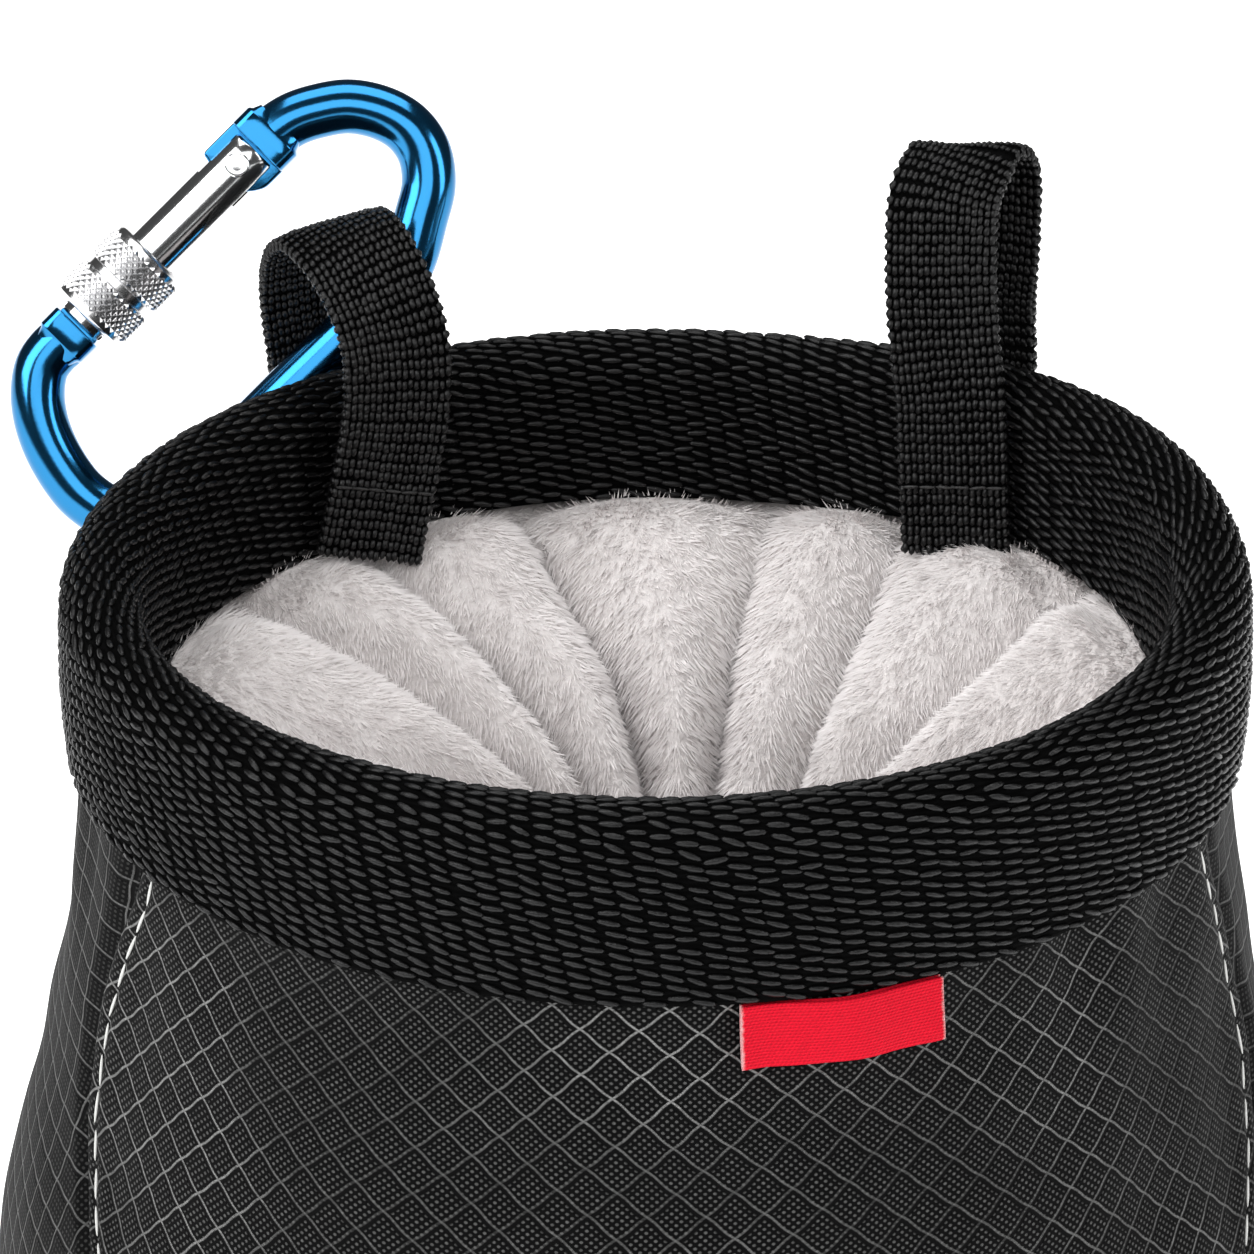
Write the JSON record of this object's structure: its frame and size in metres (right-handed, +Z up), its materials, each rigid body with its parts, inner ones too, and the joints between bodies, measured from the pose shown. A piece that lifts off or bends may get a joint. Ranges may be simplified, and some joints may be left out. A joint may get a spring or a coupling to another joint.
{
  "type": "climbing chalk bag",
  "caption": "Round cloth chalk bag with a padded webbing rim, a pleated fleece collar, webbing loops on the rim and a small screw-gate carabiner.",
  "frame": {"origin": "middle of the base, at floor level", "axes": "+Z up towards the mouth, -Y towards the front with the label, +X to the right as seen from the front"},
  "size_m": [0.1431, 0.1432, 0.1915],
  "materials": {
    "webbing": "black woven polyester webbing",
    "fleece": "light warm grey plush fleece",
    "ripstop": "black ripstop cloth with light grey ribs",
    "coarse_weave": "black coarse plain weave",
    "label_tape": "red woven tape",
    "blue_anodised": "bright blue anodised, polished",
    "polished_steel": "polished plated steel"
  },
  "bodies": {
    "bag": {"rim_binding": "webbing", "fleece_collar": "fleece", "front_panel": "ripstop", "side_gusset_right": "ripstop", "side_gusset_left": "ripstop", "back_panel": "coarse_weave", "base_panel": "coarse_weave", "label": "label_tape", "loop_right": "webbing", "loop_left": "webbing", "carabiner_body": "blue_anodised"},
    "gate": {"carabiner_gate": "polished_steel", "gate_rivet": "polished_steel"},
    "sleeve": {"gate_sleeve": "polished_steel"}
  },
  "joints": [
    {"name": "gate_hinge", "type": "hinge", "parent": "bag", "child": "gate", "pos_m": [-0.04483, 0.06065, 0.18224], "axis": [0, -0.907, 0.421], "range_deg": [0, 25], "stiffness_Nm_per_rad": 0.1, "springref_deg": -20.05},
    {"name": "sleeve_slide", "type": "slide", "parent": "gate", "child": "sleeve", "axis": [0.7083, 0.2972, 0.6403], "range_m": [0, 0.006]}
  ]
}
